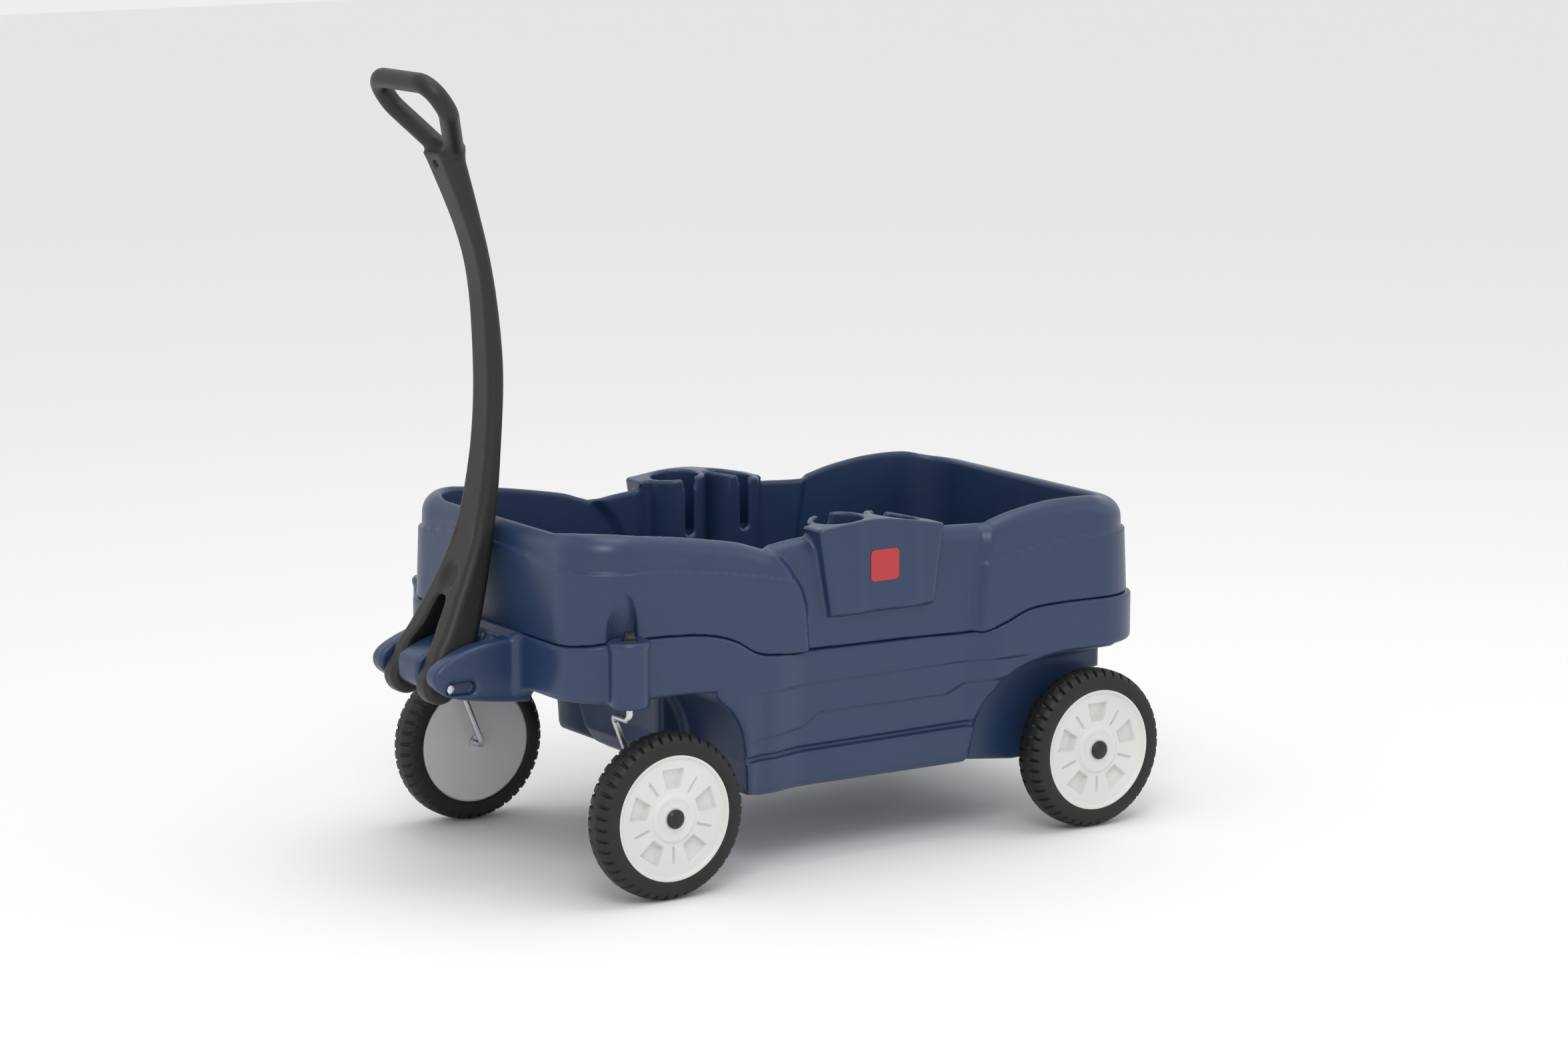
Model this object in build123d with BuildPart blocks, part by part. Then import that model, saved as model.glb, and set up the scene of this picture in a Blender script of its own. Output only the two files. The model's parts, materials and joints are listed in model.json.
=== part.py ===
"""Kids pull wagon: moulded tub on a moulded chassis, wire casters, rear axle and a fork handle.

Millimetres. +X is forward (handle end), +Y is the wagon's left side, +Z is up.
The origin is on the ground under the middle of the wagon's bounding box.
"""

import os
from math import cos, radians, sin

from build123d import *

os.makedirs("parts", exist_ok=True)

# ---------------------------------------------------------------- driving dimensions
WALL = 5.0  # moulded plastic wall
GAP = 0.3  # room between pieces that nest without a fit
RUNNING = 0.05  # radial clearance of a shaft in its bush

WHEEL_R = 101.6  # an 8 inch wheel
DISC_R = 77.0  # white wheel disc
WHEEL_IN = 215.0  # inner face of every wheel, from the centre plane
WHEEL_OUT = 258.0  # outer face of every wheel
ROD_R = 4.0  # caster wire and rear axle
BUSH_R = 7.5  # outside of the nylon bushes
SCREW_R = 2.5
SCREW_PLACES = [(x, y) for x in (70.0, -165.0) for y in (-120.0, 120.0)]
REAR_AXLE_X = -387.0
CASTER_X = 299.0  # swivel axis of both casters
CASTER_Y = 236.0
TRAIL = 49.0  # the front axle runs this far behind the swivel axis
BOSS_R = 25.0
BOSS_BOTTOM = 240.0
BOSS_TOP = 321.0

TUB_FRONT = 356.0
TUB_REAR = -487.0
CHASSIS_REAR = -495.0
TUB_HALF = 225.5  # half width over the fender bulges
RECESS = 12.0  # the middle of each side stands in by this much
RECESS_FRONT = (78.0, 52.0)  # where the side steps in behind the front bulge
RECESS_REAR = (-232.0, -252.0)  # where it steps out again
CORNER_R = 80.0
SKIRT_OUT = 5.5  # the chassis stands out from the tub by this ledge
CAVITY_FRONT = 334.0
CAVITY_REAR = -445.0
CAVITY_HALF = 197.0
SEAT_Z = 256.0
WELL_FRONT = 115.0
WELL_REAR = -210.0
WELL_HALF = 180.0
WELL_Z = 122.0

CUP_X = (-34.0, -118.0)
CUP_Y = 187.0
CUP_R = 31.0
CUP_WALL = 7.5
CUP_FLOOR = 345.0
SLOT_W = 13.0
SLOT_BOTTOM = 352.0
POD_OUT = 226.5

KEEL_FRONT_HALF = 95.0  # half width of the hull between the front wheels
KEEL_REAR_HALF = 195.0  # and between the rear wheels

KEEL_NOSE_X = 172.0  # front of the hull between the front wheels
ROOF_Z = 240.0  # roof of the front wheel wells
FENDER_Z = 225.0  # lower edge of the rear fenders

PIVOT_X = 449.0
PIVOT_Z = 250.0
PIN_R = 4.75
LUG_HALF = 29.0
PRONG_IN = 30.0
PRONG_OUT = 58.0
EAR_IN = 59.0
EAR_OUT = 80.0
EAR_POCKET = 70.0  # floor of the pocket round the pin end
EYE_R = 24.0
RING_TILT = 35.5  # the hand ring leans forward from vertical
RING_X = 436.0
RING_Z = 935.0
GRIP = 24.0  # thickness of the ring

HUB_BORE_R = 8.0
WASHER_R = 10.5
CAP_R = 11.7
AXLE_END = 262.0  # ends of both axles, from the centre plane
POCKETS = 5
JOG_Z = 223.0  # the wire bends inboard here, under the boss
JOG = 38.0
ROD_TOP = 329.0
CASTER_CAP_R = 8.5
SCREW_HEAD_R = 5.0

BADGE_X = -76.0
BADGE_Z = 370.0
BADGE_W = 42.0
BADGE_H = 39.0

BELT_W = 25.0
BELT_T = 1.6
BELT_Y = 132.0
ANCHOR_Z = 318.0
BELT_BEND_X = -345.0
BUCKLE_L = 62.0

OVERRUN = 2.0  # side views run this far past the end walls, and the plan trims them

DATUM_SHIFT = 7.775  # from the drawing datum to the middle of the bounding box
SIDES = {"left": 1, "right": -1}


def finish(part, name):
    """Move one finished piece from the drawing datum to the origin, label it and write it."""
    piece = Pos(DATUM_SHIFT, 0, 0) * part
    piece.label = name
    export_step(piece, f"parts/{name}.step")


# ---------------------------------------------------------------- shared outlines
def ledge_line(lift, front=TUB_FRONT, rear=TUB_REAR):
    """The parting line between chassis and tub in side view, front to rear, raised by lift."""
    bow = Line((front, 311 - (front - 340) / 8 + lift), (340, 311 + lift))
    rise = Spline(
        bow @ 1,
        (293, 317 + lift),
        (200, 313 + lift),
        (148, 301 + lift),
        (112, 281 + lift),
        (78, 275 + lift),
        tangents=[(-1, 0.125), (-1, 0)],
    )
    middle = Line(rise @ 1, (-222, 267 + lift))
    step_up = Spline(
        middle @ 1,
        (-262, 275 + lift),
        (-300, 288 + lift),
        (-350, 291 + lift),
        tangents=[(-1, 0.03), (-1, 0)],
    )
    stern = Line(step_up @ 1, (rear, 289 + lift))
    return bow @ 0, stern @ 1


def rim_line(drop):
    """The rim in side view, rear to front, lowered by drop; pods and bulges stand above the sides."""
    rear = ThreePointArc(
        (TUB_REAR - OVERRUN + drop, 383),
        (TUB_REAR + 6 + 0.7 * drop, 403 - 0.7 * drop),
        (TUB_REAR + 25, 410 - drop),
    )
    rear_bulge = Spline(
        rear @ 1,
        (-402, 422 - drop),
        (-331, 419 - drop),
        (-242, 403 - drop),
        tangents=[(1, 0), (1, -0.35)],
    )
    low_rear = Polyline(rear_bulge @ 1, (-242, 400 - drop), (-180, 404 - drop), (-180, 411 - drop))
    pod = ThreePointArc(low_rear @ 1, (-60, 428 - drop), (28, 420 - drop))
    low_front = Polyline(pod @ 1, (28, 410 - drop), (89, 405 - drop))
    front_bulge = Spline(
        low_front @ 1,
        (134, 418 - drop),
        (220, 433 - drop),
        (300, 442 - drop),
        (336, 441 - drop),
        tangents=[(1, 0.5), (1, 0)],
    )
    return ThreePointArc(
        front_bulge @ 1, (350 - 0.7 * drop, 436 - 0.7 * drop), (TUB_FRONT + OVERRUN - drop, 422)
    )


def body_plan(grow, rear=TUB_REAR):
    """Plan of the wagon's side walls: fender bulges front and rear, stepped in between."""
    side = [
        (TUB_FRONT, TUB_HALF),
        (RECESS_FRONT[0], TUB_HALF),
        (RECESS_FRONT[1], TUB_HALF - RECESS),
        (RECESS_REAR[0], TUB_HALF - RECESS),
        (RECESS_REAR[1], TUB_HALF),
        (rear, TUB_HALF),
    ]
    with BuildSketch() as plan:
        with BuildLine():
            Polyline(*side, *[(x, -y) for x, y in reversed(side)], close=True)
        make_face()
        corners = [v for v in plan.vertices() if v.X in (TUB_FRONT, rear)]
        fillet(corners, CORNER_R)
        if grow:
            offset(amount=grow, kind=Kind.INTERSECTION)
    return plan.sketch


def block(low, high):
    """A plain box between two corners, for cuts."""
    size = [b - a for a, b in zip(low, high)]
    middle = [(a + b) / 2 for a, b in zip(low, high)]
    return Pos(*middle) * Box(*size, mode=Mode.PRIVATE)


def tub_blank(inset):
    """The tub's outer body from parting line to rim; inset by the wall it is the room inside."""
    lift = -20 if inset else GAP
    with BuildPart() as blank:
        with BuildSketch(Plane.XZ):
            with BuildLine():
                ends = (TUB_FRONT + OVERRUN - inset, TUB_REAR - OVERRUN + inset)
                bow, stern = ledge_line(lift, *ends)
                rim = rim_line(inset)
                Line(stern, (ends[1], 383))
                Line(rim @ 1, bow)
            make_face()
        extrude(amount=300, both=True)
        with BuildSketch():
            add(body_plan(-inset))
        extrude(amount=500, mode=Mode.INTERSECT)
    return blank.part


def hull(grow):
    """Seats, foot well and inner walls as one solid; grown by the wall it is their outside."""
    with BuildPart() as inner:
        with BuildSketch(Plane.XY.offset(SEAT_Z - grow)):
            with Locations(((CAVITY_FRONT + CAVITY_REAR) / 2, 0)):
                length = CAVITY_FRONT - CAVITY_REAR
                RectangleRounded(length + 2 * grow, 2 * (CAVITY_HALF + grow), 45 + grow)
        extrude(amount=250)
        with BuildSketch(Plane.XY.offset(WELL_Z - grow)):
            with Locations(((WELL_FRONT + WELL_REAR) / 2, 0)):
                length = WELL_FRONT - WELL_REAR
                RectangleRounded(length + 2 * grow, 2 * (WELL_HALF + grow), 30 + grow)
        extrude(amount=SEAT_Z - WELL_Z + 1)
    return inner.part


# ---------------------------------------------------------------- tub
with BuildPart() as rim_keeper:
    with BuildSketch(Plane.XZ):
        with BuildLine():
            rim = rim_line(0)
            Polyline(
                rim @ 1, (TUB_FRONT + OVERRUN, 0), (TUB_REAR - OVERRUN, 0), (TUB_REAR - OVERRUN, 383)
            )
        make_face()
    extrude(amount=300, both=True)

with BuildPart() as scallops:
    with BuildSketch(Plane.XY.offset(316)):
        for side in SIDES.values():
            with Locations(*[(x, side * CUP_Y) for x in CUP_X]):
                Circle(CUP_R + CUP_WALL)
            with Locations(((CUP_X[0] + CUP_X[1]) / 2, side * (CUP_Y + 14))):
                Rectangle(CUP_X[0] - CUP_X[1] + 2 * (CUP_R + CUP_WALL), 28)
    extrude(amount=140)

with BuildPart() as tub:
    add(tub_blank(0))
    for side in SIDES.values():
        with BuildSketch(Plane.XZ.offset(-side * POD_OUT)):
            with BuildLine():
                Polyline((28, 440), (5, 312), (-157, 312), (-180, 440), close=True)
            make_face()
        extrude(amount=side * 20)
    add(tub_blank(WALL), mode=Mode.SUBTRACT)
    add(hull(WALL))
    add(hull(0), mode=Mode.SUBTRACT)
    add(scallops.part)
    add(rim_keeper.part, mode=Mode.INTERSECT)
    for side in SIDES.values():
        with Locations(*[(x, side * CUP_Y, CUP_FLOOR + 60) for x in CUP_X]):
            Cylinder(CUP_R, 120, mode=Mode.SUBTRACT)
        for x in CUP_X:
            with BuildSketch(Plane.XZ.offset(-side * CUP_Y)):
                with Locations((x, (SLOT_BOTTOM + 460) / 2)):
                    SlotOverall(460 - SLOT_BOTTOM, SLOT_W, rotation=90)
            extrude(amount=side * 60, mode=Mode.SUBTRACT)
        with Locations((CASTER_X, side * CASTER_Y, BOSS_TOP - 20)):
            Cylinder(BOSS_R + GAP, 40.6, mode=Mode.SUBTRACT)
        with Locations((CASTER_X, side * CASTER_Y, BOSS_TOP + 20)):
            Cylinder(13.5, 60, mode=Mode.SUBTRACT)
    with Locations(*[(x, y, WELL_Z - WALL - 5) for x, y in SCREW_PLACES]):
        Cylinder(SCREW_R, 2 * WALL + 6, mode=Mode.SUBTRACT)

finish(tub.part, "tub")


# ---------------------------------------------------------------- chassis
def chassis_blank(inset):
    """Side view of the chassis times its plan, wheel wells not yet cut; inset gives its inside."""
    front = TUB_FRONT + SKIRT_OUT - inset
    rear = CHASSIS_REAR + inset
    with BuildPart() as blank:
        with BuildSketch(Plane.XZ):
            with BuildLine():
                bow, stern = ledge_line(-inset, front, rear)
                keel_front = ThreePointArc(
                    (KEEL_NOSE_X - inset, 165),
                    (KEEL_NOSE_X - 17 - 0.7 * inset, 122 + 0.7 * inset),
                    (KEEL_NOSE_X - 58, 102 + inset),
                )
                Polyline(
                    keel_front @ 1,
                    (-216, 98 + inset),
                    (-300, 88 + inset),
                    (-412 + inset, 88 + inset),
                    (-425 + inset, FENDER_Z - 35 + inset),
                    (-437 + inset, FENDER_Z - 33 + inset),
                    (-437 + inset, FENDER_Z + inset),
                    (rear, FENDER_Z + inset),
                    stern,
                )
                Polyline(
                    bow,
                    (front, ROOF_Z + inset),
                    (KEEL_NOSE_X - inset, ROOF_Z + inset),
                    keel_front @ 0,
                )
            make_face()
        extrude(amount=300, both=True)
        with BuildSketch():
            add(body_plan(SKIRT_OUT - inset, CHASSIS_REAR + SKIRT_OUT))
        extrude(amount=500, mode=Mode.INTERSECT)
    return blank.part


def wheel_wells(grow):
    """The four spaces the wheels turn in; grown by the wall they bound the hollow inside."""
    with BuildPart() as wells:
        for side in SIDES.values():
            with BuildSketch(Plane.XZ.offset(-side * (KEEL_FRONT_HALF - grow))):
                with BuildLine():
                    arch = Spline(
                        (131 - grow, 110),
                        (141 - grow, 172),
                        (172 - 0.7 * grow, 212 + 0.7 * grow),
                        (235, ROOF_Z + grow),
                        tangents=[(0, 1), (1, 0.05)],
                    )
                    Polyline(arch @ 1, (420, ROOF_Z + grow), (420, 0), (131 - grow, 0), arch @ 0)
                make_face()
            extrude(amount=-side * 200)
            with BuildSketch(Plane.XZ.offset(-side * (KEEL_REAR_HALF - grow))):
                with BuildLine():
                    arch = Spline(
                        (-217 + grow, 104),
                        (-243 + 0.8 * grow, 178 + 0.6 * grow),
                        (-280, 210 + grow),
                        (-350, FENDER_Z + grow),
                        tangents=[(-0.05, 1), (-1, 0.02)],
                    )
                    Polyline(
                        arch @ 1, (-560, FENDER_Z + grow), (-560, 0), (-217 + grow, 0), arch @ 0
                    )
                make_face()
            extrude(amount=-side * 200)
    return wells.part


def nose_block(inner, outer, tip):
    """One lug of the nose: side view extruded between two distances from the centre plane."""
    with BuildPart() as lug:
        with BuildSketch(Plane.XZ.offset(-inner)):
            with BuildLine():
                tip_arc = ThreePointArc((tip - 34, 235), (tip, 262), (tip - 10, 279))
                top_arc = ThreePointArc(tip_arc @ 1, (tip - 40, 291), (tip - 90, 297))
                Polyline(top_arc @ 1, (TUB_FRONT - 4, 297), (TUB_FRONT - 4, 228), tip_arc @ 0)
            make_face()
        extrude(amount=inner - outer)
    return lug.part


with BuildPart() as chassis_hollow:
    add(chassis_blank(WALL))
    add(wheel_wells(WALL), mode=Mode.SUBTRACT)

with BuildPart() as chassis:
    add(chassis_blank(0))
    add(wheel_wells(0), mode=Mode.SUBTRACT)
    add(chassis_hollow.part, mode=Mode.SUBTRACT)
    add(hull(WALL + GAP), mode=Mode.SUBTRACT)
    # nose: a base between two ears, with a middle lug that the fork straddles
    with BuildSketch(Plane.XZ.offset(EAR_OUT)):
        with BuildLine():
            Polyline(
                (TUB_FRONT - 4, 228),
                (414, 231),
                (402, 256),
                (378, 294),
                (TUB_FRONT - 4, 294),
                close=True,
            )
        make_face()
    extrude(amount=-2 * EAR_OUT)
    add(nose_block(-LUG_HALF, LUG_HALF, PIVOT_X + 20))
    add(nose_block(EAR_IN, EAR_OUT, PIVOT_X + 24))
    add(nose_block(-EAR_OUT, -EAR_IN, PIVOT_X + 24))
    add(block((TUB_FRONT + SKIRT_OUT, -74, 200), (398, 74, 262)), mode=Mode.SUBTRACT)
    for side in SIDES.values():
        with BuildSketch(Plane.XZ.offset(-side * EAR_POCKET)):
            with Locations((PIVOT_X - 12, PIVOT_Z)):
                SlotCenterToCenter(24, 16)
        extrude(amount=-side * 30, mode=Mode.SUBTRACT)
    with Locations(Pos(PIVOT_X, 0, PIVOT_Z) * Rot(90, 0, 0)):
        Cylinder(PIN_R, 4 * EAR_OUT, mode=Mode.SUBTRACT)
    # caster bosses
    for side in SIDES.values():
        with Locations((CASTER_X, side * CASTER_Y, (BOSS_BOTTOM + BOSS_TOP) / 2)):
            Cylinder(BOSS_R, BOSS_TOP - BOSS_BOTTOM)
        with Locations((CASTER_X, side * CASTER_Y, BOSS_BOTTOM)):
            Cylinder(BUSH_R, 300, mode=Mode.SUBTRACT)
    # rear axle bore through both walls of the rear keel
    with Locations(Pos(REAR_AXLE_X, 0, WHEEL_R) * Rot(90, 0, 0)):
        Cylinder(ROD_R, 4 * KEEL_REAR_HALF, mode=Mode.SUBTRACT)
    with Locations(*[(x, y, WELL_Z - 40) for x, y in SCREW_PLACES]):
        Cylinder(SCREW_R + 0.4, 60, mode=Mode.SUBTRACT)
finish(chassis.part, "chassis")

with BuildPart() as body_screws:
    for x, y in SCREW_PLACES:
        with Locations((x, y, WELL_Z - 30)):
            Cylinder(SCREW_R, 28, align=(Align.CENTER, Align.CENTER, Align.MIN))
        with Locations((x, y, WELL_Z - 30)):
            Cylinder(SCREW_HEAD_R, 3, align=(Align.CENTER, Align.CENTER, Align.MIN))
finish(body_screws.part, "body_screws")


# ---------------------------------------------------------------- wheels
def turned(points, x, side, z=WHEEL_R):
    """A solid of revolution about a crosswise axis from (radius, distance outboard) points."""
    with BuildPart() as piece:
        with BuildSketch(Plane.XY.offset(z)):
            with BuildLine():
                Polyline(*[(x + r, side * y) for r, y in points], close=True)
            make_face()
        revolve(axis=Axis((x, 0, z), (0, 1, 0)))
    return piece.part


def wheel(prefix, x, side):
    """Tyre, hub, inner cover and bush of one wheel."""
    tyre = turned(
        [
            (DISC_R, WHEEL_IN + 1),
            (DISC_R + 4, WHEEL_IN),
            (WHEEL_R - 5, WHEEL_IN),
            (WHEEL_R, WHEEL_IN + 5),
            (WHEEL_R, WHEEL_OUT - 5),
            (WHEEL_R - 5, WHEEL_OUT),
            (DISC_R + 4, WHEEL_OUT),
            (DISC_R, WHEEL_OUT - 1),
        ],
        x,
        side,
    )
    finish(tyre, f"{prefix}_tyre")
    hub = turned(
        [
            (HUB_BORE_R, WHEEL_IN + 7),
            (18, WHEEL_IN + 7),
            (18, WHEEL_OUT - 12),
            (DISC_R - 4, WHEEL_OUT - 12),
            (DISC_R - 4, WHEEL_IN + 7),
            (DISC_R, WHEEL_IN + 7),
            (DISC_R, WHEEL_OUT - 2),
            (DISC_R - 2, WHEEL_OUT),
            (DISC_R - 7, WHEEL_OUT),
            (DISC_R - 10, WHEEL_OUT - 3),
            (26, WHEEL_OUT - 3),
            (22, WHEEL_OUT),
            (HUB_BORE_R, WHEEL_OUT),
        ],
        x,
        side,
    )
    with BuildPart() as hub_disc:
        add(hub)
        for spoke in range(POCKETS):
            middle = 90 + spoke * 360 / POCKETS
            corners = [(r, middle + turn) for r, turn in ((34, -13), (60, -13), (60, 13), (34, 13))]
            with BuildSketch(Plane.XZ.offset(-side * (WHEEL_OUT - 7))):
                with BuildLine():
                    Polyline(
                        *[(x + r * cos(radians(a)), WHEEL_R + r * sin(radians(a))) for r, a in corners],
                        close=True,
                    )
                make_face()
                fillet(vertices(), 4)
            extrude(amount=-side * 20, mode=Mode.SUBTRACT)
    finish(hub_disc.part, f"{prefix}_hub")
    cover = turned(
        [
            (HUB_BORE_R, WHEEL_IN + 1),
            (DISC_R - 3, WHEEL_IN + 1),
            (DISC_R, WHEEL_IN + 3),
            (DISC_R, WHEEL_IN + 7),
            (HUB_BORE_R, WHEEL_IN + 7),
        ],
        x,
        side,
    )
    finish(cover, f"{prefix}_inner_cover")
    bush = turned(
        [
            (ROD_R + RUNNING, WHEEL_IN + 1),
            (HUB_BORE_R, WHEEL_IN + 1),
            (HUB_BORE_R, WHEEL_OUT),
            (ROD_R + RUNNING, WHEEL_OUT),
        ],
        x,
        side,
    )
    finish(bush, f"{prefix}_bush")


def axle_fittings(prefix, x, side):
    """Inner washer and the domed push cap that hold a wheel on its axle."""
    washer = turned(
        [
            (ROD_R, WHEEL_IN - 1.2),
            (WASHER_R, WHEEL_IN - 1.2),
            (WASHER_R, WHEEL_IN + 0.7),
            (ROD_R, WHEEL_IN + 0.7),
        ],
        x,
        side,
    )
    finish(washer, f"{prefix}_washer")
    cap = turned(
        [
            (0, AXLE_END),
            (ROD_R, AXLE_END),
            (ROD_R, WHEEL_OUT + 0.3),
            (CAP_R, WHEEL_OUT + 0.3),
            (CAP_R, WHEEL_OUT + 2.5),
            (CAP_R - 3, WHEEL_OUT + 5),
            (0, WHEEL_OUT + 6),
        ],
        x,
        side,
    )
    finish(cap, f"{prefix}_cap")


for name, side in SIDES.items():
    wheel(f"rear_{name}", REAR_AXLE_X, side)
    axle_fittings(f"rear_{name}", REAR_AXLE_X, side)
    wheel(f"front_{name}", CASTER_X - TRAIL, side)
    axle_fittings(f"front_{name}", CASTER_X - TRAIL, side)

with BuildPart() as rear_axle:
    with Locations(Pos(REAR_AXLE_X, 0, WHEEL_R) * Rot(90, 0, 0)):
        Cylinder(ROD_R, 2 * AXLE_END)
finish(rear_axle.part, "rear_axle")

# ---------------------------------------------------------------- casters
for name, side in SIDES.items():
    with BuildPart() as caster_rod:
        with BuildLine():
            FilletPolyline(
                (CASTER_X, side * CASTER_Y, ROD_TOP),
                (CASTER_X, side * CASTER_Y, JOG_Z),
                (CASTER_X, side * (CASTER_Y - JOG), JOG_Z),
                (CASTER_X - TRAIL, side * (CASTER_Y - JOG), WHEEL_R),
                (CASTER_X - TRAIL, side * AXLE_END, WHEEL_R),
                radius=9,
            )
        with BuildSketch(Plane((CASTER_X, side * CASTER_Y, ROD_TOP), z_dir=(0, 0, -1))):
            Circle(ROD_R)
        sweep()
    finish(caster_rod.part, f"caster_rod_{name}")
    with BuildPart() as caster_bush:
        with BuildSketch(Plane.XY.offset(BOSS_BOTTOM)):
            with Locations((CASTER_X, side * CASTER_Y)):
                Circle(BUSH_R)
                Circle(ROD_R + RUNNING, mode=Mode.SUBTRACT)
        extrude(amount=BOSS_TOP - BOSS_BOTTOM)
    finish(caster_bush.part, f"caster_bush_{name}")
    with BuildPart() as caster_cap:
        with BuildSketch(Plane.XZ.offset(-side * CASTER_Y)):
            with BuildLine():
                Polyline(
                    (CASTER_X, BOSS_TOP + 0.3),
                    (CASTER_X + CASTER_CAP_R, BOSS_TOP + 0.3),
                    (CASTER_X + CASTER_CAP_R, BOSS_TOP + 4),
                    (CASTER_X + 6, BOSS_TOP + 7),
                    (CASTER_X + 6, ROD_TOP + 2),
                    (CASTER_X, ROD_TOP + 3.5),
                    close=True,
                )
            make_face()
        revolve(axis=Axis((CASTER_X, side * CASTER_Y, 0), (0, 0, 1)))
        with Locations((CASTER_X, side * CASTER_Y, ROD_TOP - 50)):
            Cylinder(ROD_R, 100, mode=Mode.SUBTRACT)
    finish(caster_cap.part, f"caster_cap_{name}")


# ---------------------------------------------------------------- handle
ring_plane = Plane(
    origin=(RING_X, 0, RING_Z),
    x_dir=(0, 1, 0),
    z_dir=(cos(radians(RING_TILT)), 0, -sin(radians(RING_TILT))),
)
# half width of the handle at each height, from the eyes up to the neck
HALF_WIDTHS = [(PRONG_OUT, 226), (PRONG_OUT, 285), (41, 349), (33, 392), (27, 440), (24, 520), (21, 890)]

with BuildPart() as handle:
    # the arm in side view, cut to its front view
    with BuildSketch(Plane.XZ):
        with BuildLine():
            front_edge = Spline(
                (PIVOT_X + 20, PIVOT_Z + 13),
                (434, 318),
                (388, 420),
                (365, 530),
                (361, 640),
                (375, 760),
                (422, 880),
                tangents=[(-0.35, 1), (0.5, 1)],
            )
            rear_edge = Spline(
                (394, 888),
                (356, 760),
                (339, 640),
                (342, 540),
                (354.5, 440),
                (377, 352),
                (404, 282),
                tangents=[(-0.4, -1), (0.45, -1)],
            )
            Line(front_edge @ 1, rear_edge @ 0)
            Polyline(rear_edge @ 1, (PIVOT_X - 22, PIVOT_Z - 9), front_edge @ 0)
        make_face()
    extrude(amount=PRONG_OUT, both=True)
    with BuildSketch(Plane.YZ):
        with BuildLine():
            Polyline(*HALF_WIDTHS, *[(-y, z) for y, z in reversed(HALF_WIDTHS)], close=True)
        make_face()
    extrude(amount=600, mode=Mode.INTERSECT)
    # hand ring
    with BuildSketch(ring_plane):
        with BuildLine():
            Polyline((-80, 58), (80, 58), (80, 20), (24, -68), (-24, -68), (-80, 20), close=True)
        make_face()
        fillet(vertices().group_by(Axis.Y)[-1], 29)
        fillet(vertices().sort_by(Axis.Y)[2:4], 24)
    extrude(amount=GRIP / 2, both=True)
    with BuildSketch(ring_plane.offset(-GRIP)):
        with BuildLine():
            Polyline((-56, 34), (56, 34), (56, 18), (8, -42), (-8, -42), (-56, 18), close=True)
        make_face()
        fillet(vertices().group_by(Axis.Y)[-1], 14)
    extrude(amount=2 * GRIP, mode=Mode.SUBTRACT)
    # eyes on the pin
    for side in SIDES.values():
        with BuildSketch(Plane.XZ.offset(-side * PRONG_IN)):
            with Locations((PIVOT_X, PIVOT_Z)):
                Circle(EYE_R)
        extrude(amount=-side * (PRONG_OUT - PRONG_IN))
    # the slot of the fork
    with BuildSketch(Plane.YZ):
        with BuildLine():
            crotch = ThreePointArc((14, 335), (0, 349), (-14, 335))
            Polyline(
                crotch @ 1,
                (-PRONG_IN, 300),
                (-PRONG_IN, 200),
                (PRONG_IN, 200),
                (PRONG_IN, 300),
                crotch @ 0,
            )
        make_face()
    extrude(amount=600, mode=Mode.SUBTRACT)
    with Locations(Pos(PIVOT_X, 0, PIVOT_Z) * Rot(90, 0, 0)):
        Cylinder(PIN_R + RUNNING, 4 * PRONG_OUT, mode=Mode.SUBTRACT)
finish(handle.part, "handle")

with BuildPart() as handle_pin:
    with Locations(Pos(PIVOT_X, 0, PIVOT_Z) * Rot(90, 0, 0)):
        Cylinder(PIN_R, 2 * (EAR_POCKET + 3))
finish(handle_pin.part, "handle_pin")

for name, side in SIDES.items():
    seat = EAR_POCKET + 0.2
    pin_end = EAR_POCKET + 3
    dome = [(6.5, seat), (6.5, seat + 2), (5.6, seat + 4), (3.4, seat + 5.2), (0, seat + 5.7)]
    pin_cap = turned([(PIN_R, seat), *dome, (0, pin_end), (PIN_R, pin_end)], PIVOT_X, side, PIVOT_Z)
    finish(pin_cap, f"pin_cap_{name}")

# ---------------------------------------------------------------- badges and rear seat belt
for name, side in SIDES.items():
    with BuildPart() as badge:
        with BuildSketch(Plane.XZ.offset(-side * POD_OUT)):
            with Locations((BADGE_X, BADGE_Z)):
                RectangleRounded(BADGE_W, BADGE_H, 6)
        extrude(amount=-side * 0.8)
    finish(badge.part, f"badge_{name}")

    wall_face = CAVITY_REAR + GAP
    with BuildPart() as strap:
        with BuildSketch(Plane.XZ.offset(-side * (BELT_Y - BELT_W / 2))):
            with BuildLine():
                Polyline(
                    (wall_face, ANCHOR_Z - 9),
                    (wall_face, SEAT_Z + GAP),
                    (BELT_BEND_X, SEAT_Z + GAP),
                    (BELT_BEND_X, SEAT_Z + GAP + BELT_T),
                    (wall_face + BELT_T, SEAT_Z + GAP + BELT_T),
                    (wall_face + BELT_T, ANCHOR_Z - 9),
                    close=True,
                )
            make_face()
        extrude(amount=-side * BELT_W)
        with BuildSketch(Plane.XY.offset(SEAT_Z + GAP)):
            with BuildLine():
                Polyline(
                    (BELT_BEND_X - BELT_W, side * (BELT_Y - BELT_W / 2)),
                    (BELT_BEND_X - BELT_W, side * BUCKLE_L / 2),
                    (BELT_BEND_X, side * BUCKLE_L / 2),
                    (BELT_BEND_X, side * (BELT_Y - BELT_W / 2)),
                    close=True,
                )
            make_face()
        extrude(amount=BELT_T)
    finish(strap.part, f"belt_strap_{name}")
    with BuildPart() as anchor:
        with BuildSketch(Plane.YZ.offset(wall_face)):
            with Locations((side * BELT_Y, ANCHOR_Z)):
                RectangleRounded(BELT_W + 6, 18, 5)
        extrude(amount=5)
        fillet(anchor.faces().sort_by(Axis.X)[-1].edges(), 2)
    finish(anchor.part, f"belt_anchor_{name}")

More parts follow.
